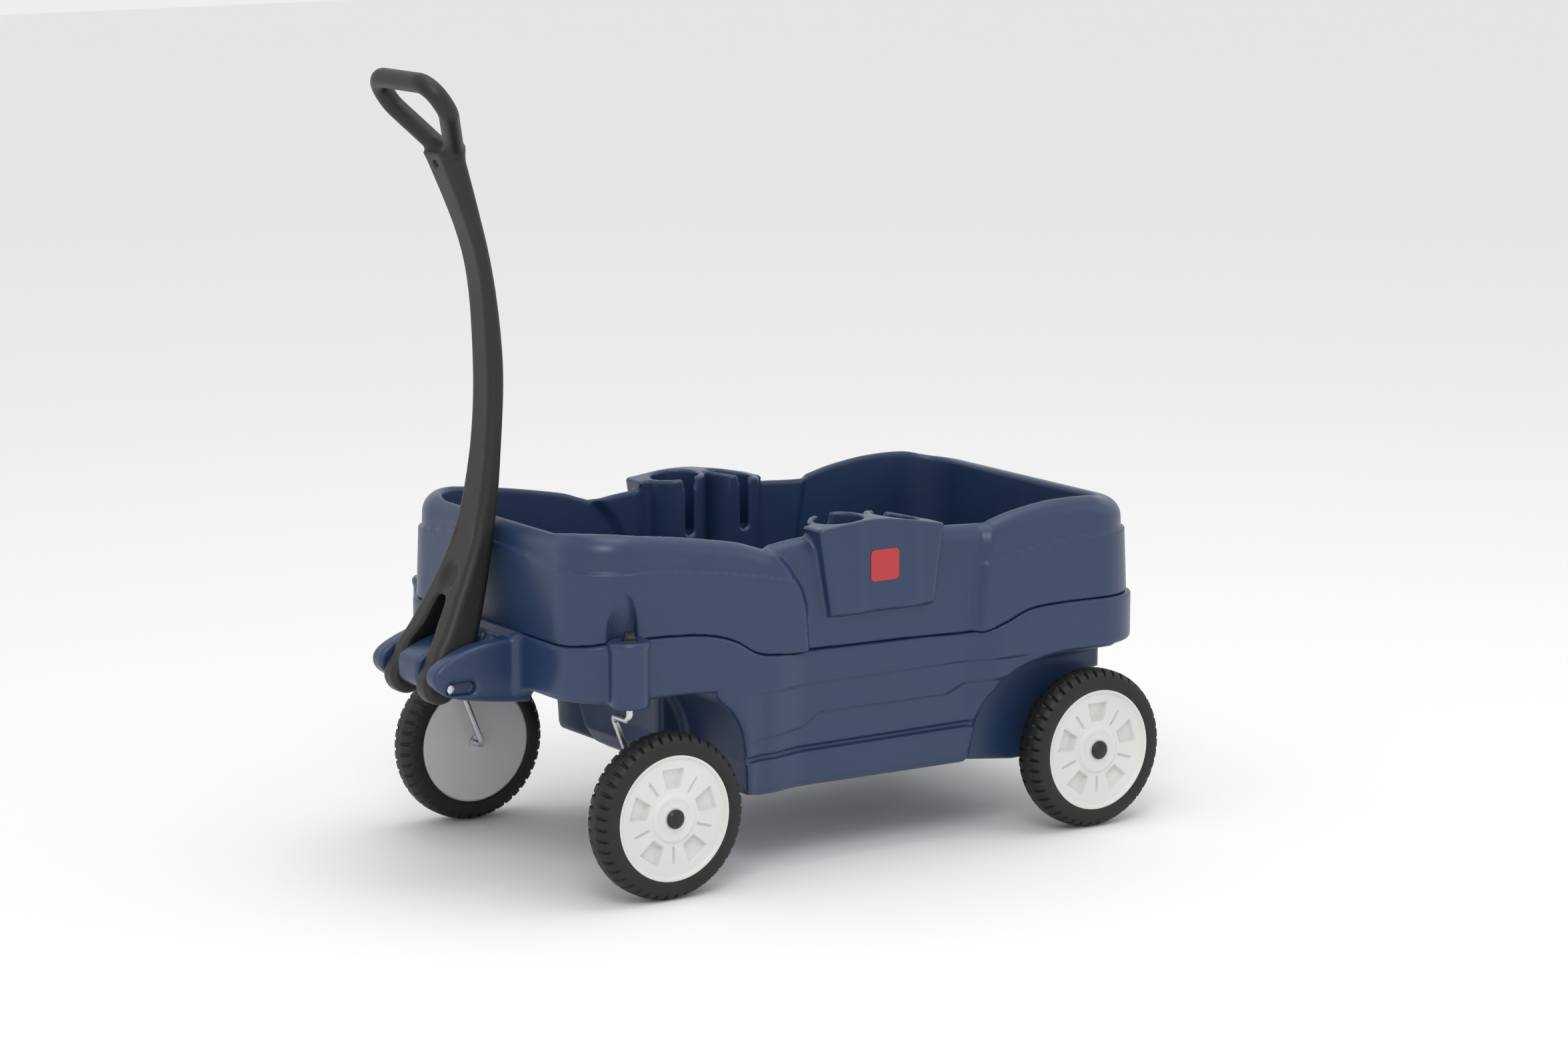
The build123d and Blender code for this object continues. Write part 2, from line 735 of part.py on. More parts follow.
with BuildPart() as buckle:
    with BuildSketch(Plane.XY.offset(SEAT_Z + GAP)):
        with Locations((BELT_BEND_X - BELT_W / 2, 0)):
            RectangleRounded(BELT_W + 12, BUCKLE_L, 8)
    extrude(amount=11)
    fillet(buckle.faces().sort_by(Axis.Z)[-1].edges(), 3)
finish(buckle.part, "belt_buckle")
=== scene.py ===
"""Looks for the kids pull wagon.

The moulded pieces (tub, chassis, handle) are modelled as signed distance fields, meshed once
and placed in the CAD frame. Fields work in millimetres from the drawing datum, which lies
449 mm behind the handle pivot; meshes are in metres.
"""

import json
import math

import bmesh
import bpy
import numpy as np
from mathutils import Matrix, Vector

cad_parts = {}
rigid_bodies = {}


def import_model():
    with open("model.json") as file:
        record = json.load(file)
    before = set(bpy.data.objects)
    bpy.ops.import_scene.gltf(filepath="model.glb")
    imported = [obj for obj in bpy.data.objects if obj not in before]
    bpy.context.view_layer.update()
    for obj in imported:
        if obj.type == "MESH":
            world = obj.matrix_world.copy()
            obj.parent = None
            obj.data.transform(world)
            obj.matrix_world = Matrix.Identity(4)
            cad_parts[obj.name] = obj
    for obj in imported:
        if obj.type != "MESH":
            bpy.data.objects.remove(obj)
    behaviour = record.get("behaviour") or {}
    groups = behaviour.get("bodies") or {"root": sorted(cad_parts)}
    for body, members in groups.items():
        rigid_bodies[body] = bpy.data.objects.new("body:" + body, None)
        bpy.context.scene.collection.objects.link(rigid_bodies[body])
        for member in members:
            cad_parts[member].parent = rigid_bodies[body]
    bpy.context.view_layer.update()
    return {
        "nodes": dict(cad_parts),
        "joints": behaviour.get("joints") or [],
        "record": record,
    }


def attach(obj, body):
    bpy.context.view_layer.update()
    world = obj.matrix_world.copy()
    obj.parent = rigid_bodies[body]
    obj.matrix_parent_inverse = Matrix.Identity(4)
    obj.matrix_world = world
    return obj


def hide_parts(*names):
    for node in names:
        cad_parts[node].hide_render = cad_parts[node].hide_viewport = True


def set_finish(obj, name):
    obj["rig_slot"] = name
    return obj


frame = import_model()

import openvdb

MM = 0.001
PIVOT_X, PIVOT_Z = 449.0, 250.0
JOINTS = {j["name"]: j for j in frame["joints"]}
SHIFT = JOINTS["handle_pivot"]["pos_m"][0] / MM - PIVOT_X

TUB_FRONT, TUB_REAR, TUB_HALF = 356.0, -487.0, 225.5
CHASSIS_FRONT, CHASSIS_REAR, CHASSIS_HALF = 361.5, -495.0, 231.0
RECESS = 12.0
CUP_X, CUP_Y, CUP_R, CUP_WALL, CUP_FLOOR = (-34.0, -118.0), 187.0, 31.0, 7.5, 345.0
POD_OUT = 226.5
SEAT_Z, WELL_Z = 256.0, 122.0
WALL_X, BELT_X, BELT_Y, BELT_W = -443.8, -357.5, 132.0, 25.0
TUB_CORNER, CHASSIS_CORNER = 72.0, 76.0  # corners of the two shells seen from above
WALL_LEAN = 0.028  # how much the tub's outside walls lean in per millimetre of height
INSIDE_DRAFT = 0.02
STYLE_STEP = 3.2  # the upper wall stands in by this much above the style line
WELL_FRONT, WELL_REAR, WELL_HALF, WELL_CORNER = 115.0, -210.0, 180.0, 30.0
BOSS_X, BOSS_Y, BOSS_R, BOSS_BASE, BOSS_TOP = 299.0, 236.0, 25.0, 240.0, 321.0
COLLAR = 0.8  # the top of a boss stands out, and the rest in, by this much
CHASSIS_STEP = 3.6  # depth of each contour step on the middle of the chassis
AXLE_X, WHEEL_R, DISC_R = {"front": 250.0, "rear": -387.0}, 101.6, 77.0
AXLE_HOLE, CASTER_HOLE, PIN_HOLE = 4.1, 7.6, 4.9
EAR_HALF, LUG_TIP = 80.0, 468.0  # the nose's half width, and where its middle lug ends
PRONG_Y, PRONG_HALF, PRONG_ROOM = 39.8, 14.2, 14.9  # a prong's middle, half width and its room in the nose
SIDES = {"left": 1, "right": -1}
MAX_TRIANGLES = 190000
FAR = 1e9


# ------------------------------------------------------------------ fields
def ease(t):
    """Smooth step from 0 to 1."""
    t = np.clip(t, 0, 1)
    return t * t * (3 - 2 * t)


def both(a, b, radius):
    """Intersection of two fields with a rounded edge."""
    outside = np.hypot(np.maximum(a + radius, 0), np.maximum(b + radius, 0))
    return np.minimum(-radius, np.maximum(a, b)) + outside


def join(a, b, radius):
    """Union of two fields with a filleted corner."""
    return -both(-a, -b, radius)


def cut(a, b, radius):
    """Field a with b taken out and the edge rounded."""
    return both(a, -b, radius)


def smooth_points(points, steps=8):
    """Points along a Catmull-Rom curve through a few given ones."""
    p = np.array([points[0], *points, points[-1]], float)
    out = []
    for i in range(1, len(p) - 2):
        for t in np.linspace(0, 1, steps, endpoint=False):
            a, b, c, d = p[i - 1], p[i], p[i + 1], p[i + 2]
            square, cube = 2 * a - 5 * b + 4 * c - d, 3 * b - a - 3 * c + d
            out.append(0.5 * (2 * b + (c - a) * t + square * t**2 + cube * t**3))
    return [*out, p[-1]]


def outline(points, u, v):
    """Exact signed distance to a closed polygon in the u, v plane, negative inside."""
    u, v = np.broadcast_arrays(u, v)
    best = np.full(u.shape, FAR)
    inside = np.zeros(u.shape, bool)
    for (ax, ay), (bx, by) in zip(points, np.roll(points, -1, axis=0)):
        ex, ey = bx - ax, by - ay
        length2 = ex * ex + ey * ey
        if length2 < 1e-9:
            continue
        t = np.clip(((u - ax) * ex + (v - ay) * ey) / length2, 0, 1)
        best = np.minimum(best, (u - ax - t * ex) ** 2 + (v - ay - t * ey) ** 2)
        crosses = (ay > v) != (by > v)
        with np.errstate(divide="ignore", invalid="ignore"):
            inside ^= crosses & (u < ax + (v - ay) * ex / (ey if ey else 1e-9))
    return np.sqrt(best) * np.where(inside, -1, 1)


def below(points, x, z):
    """Field of everything under a side-view curve given front to rear or rear to front."""
    curve = [tuple(p) for p in smooth_points(sorted(points))]
    ends = [(curve[0][0] - 400, curve[0][1]), *curve, (curve[-1][0] + 400, curve[-1][1])]
    return outline(np.array([*ends, (ends[-1][0], -300), (ends[0][0], -300)]), x, z)


def rounded_plan(u, v, front, rear, half, radius):
    """Plan of a rounded rectangle, symmetric in v."""
    middle, reach = (front + rear) / 2, (front - rear) / 2
    a = np.abs(u - middle) - reach + radius
    b = np.abs(v) - half + radius
    return np.hypot(np.maximum(a, 0), np.maximum(b, 0)) + np.minimum(np.maximum(a, b), 0) - radius


# side-view lines as (x, height): where tub meets chassis, the tub's rim, and the two style lines
LEDGE = [
    (352, 309), (340, 311), (293, 317), (200, 313), (148, 301), (112, 281), (78, 275), (0, 272.5),
    (-120, 270), (-222, 267), (-262, 275), (-300, 288), (-350, 291), (-420, 290), (-487, 289),
]
RIM = [
    (356, 441), (300, 442), (220, 433), (134, 418), (104, 409), (92, 405), (87, 403.5), (82, 405),
    (28, 411), (-60, 412), (-180, 404), (-240, 401), (-252, 405), (-290, 414), (-345, 421), (-402, 421),
    (-440, 413), (-487, 409),
]
STYLE_FRONT = [(360, 400), (314, 398), (240, 395), (164, 385), (60, 366)]
STYLE_REAR = [(-215, 349), (-232, 352), (-273, 361), (-315, 367), (-378, 373), (-440, 372), (-495, 372)]


def bulge(x, z, sharp=14.0):
    """1 on the fender bulges, 0 on the recessed middle of each side; the ends slant with height."""
    front_end = np.interp(z, [270, 330, 350, 380, 406, 440], [32, 36, 42, 60, 84, 106])
    rear_end = np.interp(z, [260, 351, 403], [-222, -232, -243])
    return np.maximum(ease((x - front_end) / sharp + 0.5), ease((rear_end - x) / sharp + 0.5))


def tub_field(x, y, z):
    """The tub: a thick-rimmed shell with two cup pods, seats, foot well and slots."""
    on_bulge = bulge(x, z)
    lean = WALL_LEAN * (z - 350)
    # above the style line the wall stands in by a thin step
    fz = np.interp(x, *np.array(sorted(STYLE_FRONT)).T) + 11 * (1 - np.minimum(y / 170, 1) ** 2) * (x > 300)
    rz = np.interp(x, *np.array(sorted(STYLE_REAR)).T)
    line = np.where(x > -100, fz, rz)
    step = STYLE_STEP * ease((z - line) / 1.6 + 0.5) * on_bulge
    half = TUB_HALF - RECESS * (1 - on_bulge) - lean - step
    front = TUB_FRONT - lean - step
    rear = TUB_REAR + lean + step
    plan = both(y - half, np.maximum(x - front, rear - x), TUB_CORNER)
    body = both(plan, below(RIM, x, z), 24.0)
    body = both(body, 0.4 - below(LEDGE, x, z), 2.5)

    # cup pods: a wall round each cup, a raised panel outside, one crest
    crest = below([(40, 418), (23, 421), (-60, 428), (-120, 421), (-172, 411), (-190, 409)], x, z)
    cups = [np.hypot(x - cx, y - CUP_Y) for cx in CUP_X]
    ring = join(cups[0] - CUP_R - CUP_WALL, cups[1] - CUP_R - CUP_WALL, 10.0)
    sides = outline(np.array([(26, 460), (2, 312), (-155, 312), (-176, 460)]), x, z)
    panel = both(both(sides, y - POD_OUT, 8.0), CUP_Y - y, 1.0)
    pod = both(join(both(ring, 314 - z, 3.0), panel, 6.0), crest, 2.5)

    # seats, foot well and the lower pan that sits inside the chassis
    draft = INSIDE_DRAFT * (z - SEAT_Z)
    inner_half = 195 - 8 * (1 - bulge(x, z, 16.0)) + draft
    corner = 50 + 24 * ease(x / 200)
    seats = rounded_plan(x, y, 332 + draft, -445 - draft, inner_half, corner)
    well = rounded_plan(x, y, WELL_FRONT, WELL_REAR, WELL_HALF, WELL_CORNER)
    under_seats = both(rounded_plan(x, y, 339, -450, 202, 48.0), 251 - z, 2.0)
    pan = np.minimum(under_seats, both(well - 5, 117 - z, 2.0))
    body = np.minimum(body, both(pan, z - 300, 1.0))
    room = join(both(seats, SEAT_Z - z, 16.0), both(well, WELL_Z - z, 14.0), 12.0)
    body = join(cut(body, room, 5.0), pod, 5.0)

    # cups and their slots
    for cx, cup in zip(CUP_X, cups):
        body = cut(body, both(cup - CUP_R, CUP_FLOOR - z, 6.0), 2.0)
        flare = 3.0 * ease((z - 408) / 14)
        slot = np.where(z < 358.5, np.hypot(x - cx, z - 358.5), np.abs(x - cx)) - 6.5 - flare
        body = cut(body, both(slot, np.abs(y - 160) - 25, 1.0), 2.5)

    # scoop over each caster boss
    oval = (np.hypot((x - BOSS_X) / 18.5, (z - 334) / 44) - 1) * 18
    floor_y = 213 + 9 * ease((z - 330) / 52)
    return cut(body, both(oval, floor_y - y, 5.0), 1.5)


def chassis_field(x, y, z):
    """The chassis: fendered skirt, wheel wells, running boards, caster bosses and the nose."""
    swell = np.maximum(ease((x - 30) / 60), ease((-205 - x) / 50))
    jog = np.interp(x, [-300, -276, -208, -180, 11, 35, 120], [206, 205, 202, 191, 193, 177, 172])
    middle = ease((140 - x) / 40) * ease((x + 330) / 60)
    tuck = CHASSIS_STEP * ease((231 - z) / 5 + 0.5) + CHASSIS_STEP * ease((jog - z) / 4 + 0.5)
    tuck = tuck + 0.03 * np.maximum(262 - z, 0)
    half = CHASSIS_HALF - RECESS * (1 - swell) - tuck * middle
    plan = both(y - half, np.maximum(x - CHASSIS_FRONT, CHASSIS_REAR - x), CHASSIS_CORNER)
    body = both(plan, below(LEDGE, x, z), 3.5)
    keel = outline(
        np.array([
            (362, 480), (362, 240), (172, 240), (172, 165), (164, 137), (150, 117), (130, 106), (100, 101),
            (-216, 98), (-300, 88), (-412, 88), (-425, 190), (-437, 192), (-437, 225), (-495, 225),
            (-495, 480),
        ]), x, z,
    )
    body = both(body, keel, 8.0)
    # wheel wells
    arch = smooth_points([(124, 110), (127, 150), (136, 188), (154, 216), (184, 234), (222, 240)])
    front = outline(np.array([*arch, (460, 240), (460, -40), (124, -40)]), x, z)
    body = cut(body, both(front, 95 - y, 12.0), 9.0)
    arch = smooth_points([(-217, 104), (-226, 145), (-243, 178), (-280, 208), (-318, 221), (-352, 225)])
    rear = outline(np.array([*arch, (-580, 225), (-580, -40), (-217, -40)]), x, z)
    body = cut(body, both(rear, 195 - y, 12.0), 9.0)
    # running board: a shadow groove with the board standing proud under it
    board = both(both(y - 220, np.abs(z - 120) - 24, 7.0), both(plan - 1.5, keel, 10.0), 4.0)
    board = both(board, outside_wells(front, rear), 4.0)
    body = join(body, board, 1.5)
    groove = np.hypot(np.maximum(np.abs(z - 148.5) - 1.2, 0), np.maximum(half - 3.5 - y, 0)) - 2.2
    body = cut(body, both(groove, outside_wells(front, rear), 1.0), 2.0)
    # caster bosses
    around = np.hypot(x - BOSS_X, y - BOSS_Y)
    middle_z, reach_z = (BOSS_TOP + BOSS_BASE) / 2, (BOSS_TOP - BOSS_BASE) / 2
    stem = around - BOSS_R + COLLAR - 2 * COLLAR * ease((z - 309) / 3)
    body = join(body, both(stem, np.abs(z - middle_z) - reach_z, 4.0), 5.0)
    body = cut(body, around - CASTER_HOLE, 1.5)
    # room for the tub's pan
    pan = both(rounded_plan(x, y, 339.3, -450.3, 202.3, 48.0), 250.7 - z, 1.0)
    well = rounded_plan(x, y, WELL_FRONT, WELL_REAR, WELL_HALF, WELL_CORNER) - 5.3
    well = both(well, 116.7 - z, 1.0)
    body = cut(body, np.minimum(pan, well), 1.0)
    axle = np.hypot(x - AXLE_X["rear"], z - WHEEL_R) - AXLE_HOLE
    body = cut(body, axle, 1.0)
    return join(body, nose_field(x, y, z), 16.0)


def outside_wells(front, rear):
    """Field of everything that is not in a wheel well."""
    return np.maximum(-front, -rear)


def nose_field(x, y, z):
    """Two ears and a middle lug round the handle pin, on a base behind the fork."""
    ear = outline(
        np.array(smooth_points([
            (340, 222), (380, 226), (439, 236), (465, 248), (474, 262), (469, 276), (449, 288), (419, 298),
            (381, 303), (340, 305),
        ], 4)), x, z,
    )
    nose = both(ear, y - EAR_HALF, 7.0)
    fork = outline(
        np.array([
            (420, 200), (413, 231), (400, 256), (376, 296), (366, 320), (520, 320), (520, 200),
        ]), x, z,
    )
    nose = cut(nose, both(fork, np.abs(y - PRONG_Y) - PRONG_ROOM, 2.0), 4.0)
    lug_tip = outline(np.array([(LUG_TIP, 150), (LUG_TIP, 350), (560, 350), (560, 150)]), x, z)
    nose = cut(nose, both(lug_tip, y - 40, 1.0), 5.0)
    pocket = both(np.hypot(np.maximum(np.abs(x - 437) - 12, 0), z - PIVOT_Z) - 8, 70 - y, 2.0)
    nose = cut(nose, pocket, 2.5)
    nose = cut(nose, np.hypot(x - PIVOT_X, z - PIVOT_Z) - PIN_HOLE, 0.5)
    nub = np.sqrt((x - 384) ** 2 + (y - 58) ** 2 + (z - 299) ** 2) - 8
    return join(nose, nub, 3.0)


# the handle's front and rear edges seen from the side, and its half width by height
ARM_FRONT = [(469, 255), (454, 290), (434, 322), (388, 420), (366, 530), (362, 640), (375, 760), (424, 884)]
ARM_REAR = [(393, 892), (356, 760), (340, 640), (343, 540), (355, 440), (377, 352), (404, 282), (428, 244)]
ARM_HALF = np.array([
    (226, 54), (285, 54), (320, 47), (349, 41), (392, 34), (440, 28.5), (520, 25), (800, 23), (890, 26),
]).T
RING_X, RING_Z, RING_TILT = 436.0, 935.0, math.radians(35.5)
RING_REACH, RING_TUBE = 26.0, 12.0  # from the core outline to the tube's middle, and the tube's radius


def handle_field(x, y, z):
    """The handle: a curved arm, forked at the pin, with a ring for the hand."""
    side = outline(np.array([*smooth_points(ARM_FRONT), *smooth_points(ARM_REAR)]), x, z)
    half = np.interp(z, *ARM_HALF)
    arm = both(side, y - half, 9.5)
    # shallow channel down the front face, between raised borders
    front_x = np.interp(z, *np.array(sorted((b, a) for a, b in ARM_FRONT)).T)
    channel = both(front_x - 1.5 - x, y - half + 9, 2.0)
    channel = both(channel, np.abs(z - 450) - 75, 10.0)
    arm = cut(arm, channel, 1.5)
    scoop = np.sqrt(((x - front_x) / 9) ** 2 + (y / 17) ** 2 + ((z - 372) / 17) ** 2) - 1
    arm = cut(arm, scoop * 9, 2.0)
    # fork
    fork = outline(np.array([
        (-25.5, 180), (-25.5, 292), (-17, 312), (-12, 342), (-8, 348), (0, 349.5), (8, 348), (12, 342),
        (17, 312), (25.5, 292), (25.5, 180),
    ]), y, z)
    arm = cut(arm, fork, 5.0)
    eye = both(np.hypot(x - PIVOT_X, z - PIVOT_Z) - 24, np.abs(y - PRONG_Y) - PRONG_HALF, 8.0)
    arm = join(arm, eye, 4.0)
    arm = cut(arm, np.hypot(x - PIVOT_X, z - PIVOT_Z) - PIN_HOLE, 0.5)
    # hand ring
    v = (x - RING_X) * math.sin(RING_TILT) + (z - RING_Z) * math.cos(RING_TILT)
    n = (x - RING_X) * math.cos(RING_TILT) - (z - RING_Z) * math.sin(RING_TILT)
    core = outline(np.array([(-42, 20), (42, 20), (42, 14), (6, -30), (-6, -30), (-42, 14)]), y, v)
    ring = np.hypot(core - RING_REACH, n) - RING_TUBE
    arm = cut(arm, both(core - 14.2, np.abs(n) - 30, 1.0), 3.0)
    handle = join(arm, ring, 12.0)
    dot = np.sqrt((x - 417) ** 2 + y**2 + (z - 872) ** 2) - 4.5
    return cut(handle, dot, 1.0)


# ------------------------------------------------------------------ meshes
def new_piece(name, points, faces, body, slot_name, replaces=()):
    """A smooth-shaded object in metres that rides on a body."""
    mesh = bpy.data.meshes.new(name)
    mesh.from_pydata(points, [], faces)
    mesh.validate()
    mesh.shade_smooth()
    piece = bpy.data.objects.new(name, mesh)
    bpy.context.scene.collection.objects.link(piece)
    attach(piece, body)
    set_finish(piece, slot_name)
    if replaces:
        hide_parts(*replaces)
    return piece


def moulding(name, field, low, high, step, body, slot_name, replaces):
    """Meshes a left-right symmetric field and thins the result to the triangle limit."""
    xs = np.arange(low[0] - 3 * step, high[0] + 3 * step, step)
    ys = np.arange(0, high[1] + 3 * step, step)
    zs = np.arange(low[2] - 3 * step, high[2] + 3 * step, step)
    values = field(xs[:, None, None], ys[None, :, None], zs[None, None, :])
    values = np.broadcast_to(values, (len(xs), len(ys), len(zs))).astype(np.float32)
    values = np.concatenate([values[:, :0:-1, :], values], axis=1)
    grid = openvdb.FloatGrid(4 * step)
    grid.copyFromArray(np.ascontiguousarray(values))
    points, quads = grid.convertToQuads(0.0)
    origin = np.array([xs[0] + SHIFT, -ys[-1], zs[0]])
    points = (np.array(points, float) * step + origin) * MM
    a, b, c = (points[quads[:, i]] for i in (0, 1, 2))
    if np.einsum("ij,ij->", np.cross(a, b), c) < 0:
        quads = quads[:, ::-1]
    piece = new_piece(name, points, quads.tolist(), body, slot_name, replaces)
    triangles = 2 * len(quads)
    if triangles > MAX_TRIANGLES:
        thin = piece.modifiers.new("thin", "DECIMATE")
        thin.ratio = MAX_TRIANGLES / triangles
        graph = bpy.context.evaluated_depsgraph_get()
        lean = bpy.data.meshes.new_from_object(piece.evaluated_get(graph))
        piece.modifiers.remove(thin)
        piece.data = lean
        lean.shade_smooth()
    return piece


def lathe(name, rows, x, z, side, body, slot_name, replaces=(), turns=720, shape=None):
    """A closed ring of (radius, distance outboard) rows; shape may change each row round the turn."""
    angle = np.linspace(0, 2 * math.pi, turns, endpoint=False)
    points = []
    for row, (radius, out) in enumerate(rows):
        r = np.full(turns, float(radius))
        y = np.full(turns, float(out))
        if shape:
            r, y = shape(row, r, y, angle)
        points.append(np.stack([x + SHIFT + r * np.cos(angle), side * y, z + r * np.sin(angle)], 1))
    points = np.concatenate(points) * MM
    count = len(rows)
    faces = []
    for i in range(count):
        j = (i + 1) % count
        for k in range(turns):
            n = (k + 1) % turns
            face = (i * turns + k, i * turns + n, j * turns + n, j * turns + k)
            faces.append(face if side > 0 else face[::-1])
    return new_piece(name, points, faces, body, slot_name, replaces)


LUGS = 44
WHEEL_OUT, TREAD_MIDDLE = 258.0, 236.5
# section of a tyre as (radius, distance from the wagon's middle plane)
TYRE_ROWS = [
    (DISC_R, 216), (DISC_R, 230), (DISC_R, 244), (DISC_R, 257), (78.5, 258), (84, 258), (90, 257.8),
    (94, 256.8), (95.2, 256), (96, 255.2), (97.6, 253.4), (98.0, 253.0), (99.4, 250.5), (100.6, 247.5),
    (101.3, 244), (101.5, 243.5), (WHEEL_R, 240.4), (WHEEL_R, 240), (WHEEL_R, 236.5), (WHEEL_R, 233),
    (WHEEL_R, 232.6), (101.5, 229), (101.3, 228.6), (100.6, 225), (99.4, 222), (98.0, 219.4), (97.6, 219),
    (95.2, 217), (92, 215.6), (84, 215), (78.5, 215),
]


def tread(row, r, y, angle):
    """Cross lugs: grooves between blocks on each half of the tread, offset from each other."""
    radius, out = TYRE_ROWS[row]
    if radius < 95:
        return r, y
    middle = abs(out - TREAD_MIDDLE) < 4
    offset = 0.5 if out < TREAD_MIDDLE else 0.0
    phase = angle * LUGS / (2 * math.pi) + offset + 0.012 * (out - TREAD_MIDDLE)
    wave = np.abs((phase % 1.0) - 0.5) * 2
    groove = ease((wave - 0.70) / 0.09)
    depth = 0.0 if middle else (3.8 if radius > 97.7 else 2.2)
    return r - depth * groove, y


def disc_height(radius, angle):
    """How far the outer wheel disc is sunk at a radius and angle."""
    sector = 2 * math.pi / 5
    turn = (angle - math.pi / 2 + sector / 2) % sector - sector / 2
    across = radius * np.sin(turn)
    along = radius * np.cos(turn)
    pocket = ease((8 + 0.26 * (along - 34) - np.abs(across)) / 2.5 + 0.5)
    pocket = pocket * ease((along - 35) / 3) * ease((60.5 - along) / 3)
    depth = (9.5 - 0.13 * (along - 34)) * pocket
    other = (angle - math.pi / 2) % sector - sector / 2
    slit = ease((1.6 - np.abs(radius * np.sin(other))) / 1.6 + 0.4)
    slit = slit * ease((radius - 34) / 3) * ease((58 - radius) / 3)
    return depth + 3.2 * slit


def disc_profile(r):
    """Outer face of the disc before pockets: rim lip, shallow dish, raised hub."""
    dish = 2.6 * ease((74.5 - r) / 3.0)
    hub = 2.4 * ease((31 - r) / 3.0)
    hollow = 0.72 * ease((24 - r) / 2.0) * ease((r - 14) / 2.0)
    return WHEEL_OUT - 0.6 - dish + hub - hollow


def disc(prefix, x, side, body):
    """White outer disc with five pockets and five short grooves."""
    radii = [8, 8.3, 9.5, 12, 13.4, 14.4, 15.4, 18, 21.5, 22.8, 24, 25.5, 28, 29, 30, 31, 32.4]
    radii += list(np.arange(33.4, 62.5, 1.15)) + [64, 68, 71, 72, 73, 74, 75, 76, 76.7, DISC_R]
    back = 222.3
    rows = [(r, disc_profile(r)) for r in radii] + [(DISC_R, 250), (DISC_R, back), (40, back), (8, back)]
    last = len(radii)

    def pockets(row, r, y, angle):
        if row >= last or row == 0:
            return r, y
        return r, y - disc_height(r, angle)

    return lathe(
        f"{prefix}_disc", rows, x, WHEEL_R, side, body, "wheel_white", [f"{prefix}_hub"], 720, pockets,
    )


def strap(name, runs, width, thick, body, slot_name, replaces):
    """Flat straps with soft edges, each along a path of points with the direction it is wide in."""
    edge = np.linspace(-1, 1, 13)
    upper = np.stack([edge * width / 2, thick / 2 * (1 - 0.6 * edge**6)], 1)
    section = np.concatenate([upper, upper[::-1] * (1, -1)])
    k = len(section)
    points, faces = [], []
    for path, across in runs:
        path, across = np.array(path, float), np.array(across, float)
        tangent = np.gradient(path, axis=0)
        normal = np.cross(tangent, across)
        normal /= np.linalg.norm(normal, axis=1)[:, None]
        first, last = len(points), len(points) + (len(path) - 1) * k
        for p, n in zip(path, normal):
            points += [p + u * across + v * n for u, v in section]
        for start in range(first, last, k):
            for j in range(k):
                n = (j + 1) % k
                faces.append((start + j, start + n, start + k + n, start + k + j))
        faces.append(tuple(range(first + k - 1, first - 1, -1)))
        faces.append(tuple(range(last, last + k)))
    points = (np.array(points) + (SHIFT, 0, 0)) * MM
    piece = new_piece(name, points, faces, body, slot_name, replaces)
    shell = bmesh.new()
    shell.from_mesh(piece.data)
    bmesh.ops.recalc_face_normals(shell, faces=shell.faces)
    shell.to_mesh(piece.data)
    shell.free()
    return piece


def belt(name, side):
    """One half of the rear belt: down the wall, along the seat, then across to the buckle."""
    wall, seat, bend = WALL_X, SEAT_Z + 1.4, 17.0
    down = [(wall - INSIDE_DRAFT * (z - SEAT_Z), z) for z in np.linspace(308, 276, 6)]
    turn = [
        (wall + bend * (1 - math.cos(a)), seat + bend * (1 - math.sin(a)))
        for a in np.linspace(0.1, math.pi / 2, 9)
    ]
    along = [(x, seat + 0.5 * ease((x + 400) / 40)) for x in np.linspace(wall + bend + 8, BELT_X + 11, 9)]
    first = [(x, side * BELT_Y, z) for x, z in down + turn + along]
    second = [
        (BELT_X, side * y, seat + 2.2 + 1.8 * ease((90 - y) / 60))
        for y in np.linspace(BELT_Y + 11, 26, 12)
    ]
    strap(
        f"belt_webbing_{name}", [(first, (0, 1, 0)), (second, (1, 0, 0))], BELT_W, 1.4,
        "root", "webbing", [f"belt_strap_{name}"],
    )


